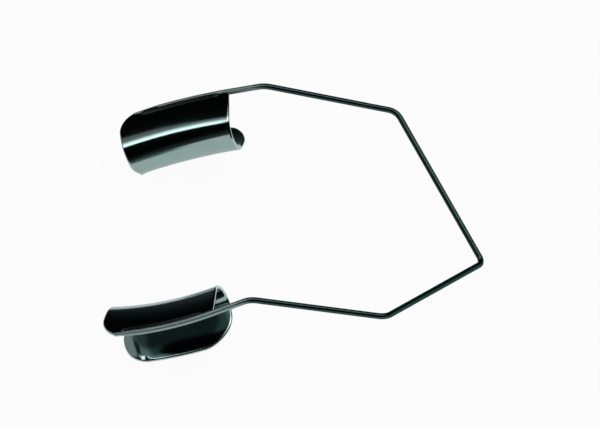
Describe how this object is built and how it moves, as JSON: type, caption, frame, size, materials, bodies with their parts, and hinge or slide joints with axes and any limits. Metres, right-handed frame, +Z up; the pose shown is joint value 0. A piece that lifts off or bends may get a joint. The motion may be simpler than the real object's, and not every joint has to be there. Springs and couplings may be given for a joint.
{
  "type": "wire eyelid speculum",
  "caption": "Self-retaining eyelid retractor: a bent spring wire with a solid curved gutter blade brazed along each end, which springs open to hold the lids apart.",
  "frame": {"origin": "on the table, under the middle of the resting instrument and in its mirror plane", "axes": "+X from the blades to the closed end of the wire, +Y to the upper-lid blade, +Z up from the table"},
  "size_m": [0.043, 0.0358, 0.012],
  "materials": {
    "spring_wire": "polished stainless spring wire",
    "blade_sheet": "mirror polished stainless sheet with a fine long grain",
    "braze": "silver braze, polished flush"
  },
  "bodies": {
    "apex": {"apex_wire": "spring_wire"},
    "upper_leg": {"upper_leg_wire": "spring_wire"},
    "upper_arm": {"upper_arm_wire": "spring_wire", "upper_blade": "blade_sheet", "upper_braze_seam": "braze"},
    "lower_leg": {"lower_leg_wire": "spring_wire"},
    "lower_arm": {"lower_arm_wire": "spring_wire", "lower_blade": "blade_sheet", "lower_braze_seam": "braze"}
  },
  "joints": [
    {"name": "upper_leg_flex", "type": "hinge", "parent": "apex", "child": "upper_leg", "pos_m": [0.01635, 0.00696, 0.00402], "axis": [0.4852, -0.1312, 0.8645], "range_deg": [0, 15], "stiffness_Nm_per_rad": 0.25},
    {"name": "upper_arm_flex", "type": "hinge", "parent": "upper_leg", "child": "upper_arm", "pos_m": [0.00462, 0.01586, 0.00981], "axis": [0.2068, 0.0086, 0.9783], "range_deg": [0, 6], "stiffness_Nm_per_rad": 0.125},
    {"name": "lower_leg_flex", "type": "hinge", "parent": "apex", "child": "lower_leg", "pos_m": [0.01635, -0.00696, 0.00402], "axis": [-0.4852, -0.1312, -0.8645], "range_deg": [0, 15], "stiffness_Nm_per_rad": 0.25},
    {"name": "lower_arm_flex", "type": "hinge", "parent": "lower_leg", "child": "lower_arm", "pos_m": [0.00462, -0.01586, 0.00981], "axis": [-0.2068, 0.0086, -0.9783], "range_deg": [0, 6], "stiffness_Nm_per_rad": 0.125}
  ]
}
